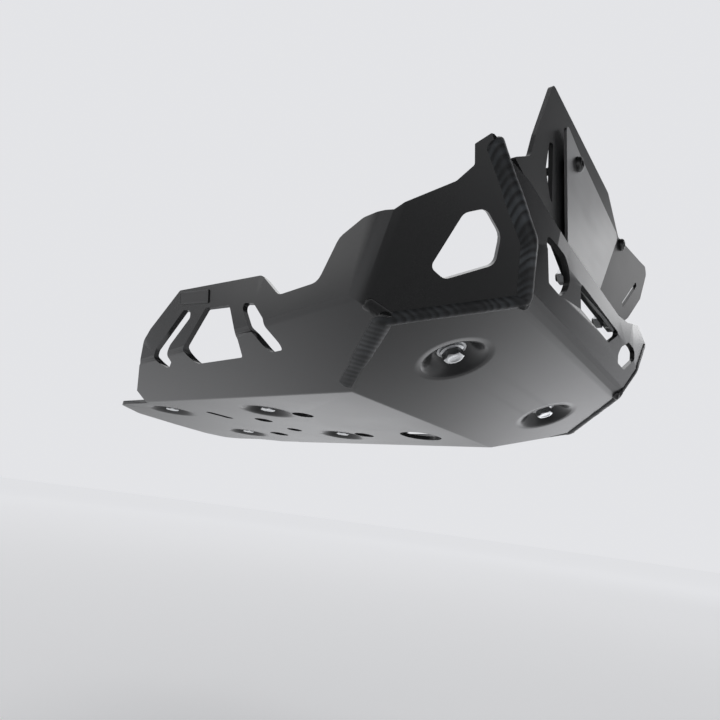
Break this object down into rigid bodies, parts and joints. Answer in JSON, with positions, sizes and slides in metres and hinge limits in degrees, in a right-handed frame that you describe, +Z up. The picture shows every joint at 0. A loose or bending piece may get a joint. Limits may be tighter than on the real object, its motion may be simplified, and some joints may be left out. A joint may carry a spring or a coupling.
{
  "type": "motorcycle skid plate",
  "caption": "Folded and welded sheet-aluminium engine guard for a motorcycle, with side wings, cooling slots, recessed mounting bolts and an upper front shield.",
  "frame": {"origin": "under the middle of the part's bounding box, on the plane of its flat bottom", "axes": "+Y towards the motorcycle's rear along the guard's length, +X towards the motorcycle's left, +Z up"},
  "size_m": [0.4028, 0.5542, 0.2038],
  "materials": {
    "coated_aluminium": "satin fine-grained powder coat over aluminium sheet",
    "bare_aluminium": "brushed",
    "zinc_steel": "zinc plated",
    "plain_steel": "satin"
  },
  "bodies": {
    "root": {"skid_plate": "coated_aluminium", "ramp_bolt_right": "zinc_steel", "ramp_bolt_left": "zinc_steel", "middle_bolt_right": "zinc_steel", "middle_bolt_left": "zinc_steel", "rear_bolt_right": "zinc_steel", "rear_bolt_left": "zinc_steel", "ramp_washer_right": "plain_steel", "ramp_washer_left": "plain_steel", "middle_washer_right": "plain_steel", "middle_washer_left": "plain_steel", "rear_washer_right": "plain_steel", "rear_washer_left": "plain_steel", "ramp_spacer_right": "plain_steel", "ramp_spacer_left": "plain_steel", "middle_spacer_right": "plain_steel", "middle_spacer_left": "plain_steel", "rear_spacer_right": "plain_steel", "rear_spacer_left": "plain_steel", "shield_face": "bare_aluminium", "shield_carrier": "coated_aluminium", "shield_screw_right": "plain_steel", "shield_screw_left": "plain_steel", "shield_ring": "plain_steel", "shield_foot_ring_right": "plain_steel", "shield_foot_ring_left": "plain_steel", "shield_nut_right": "zinc_steel", "shield_nut_left": "zinc_steel"}
  },
  "joints": []
}
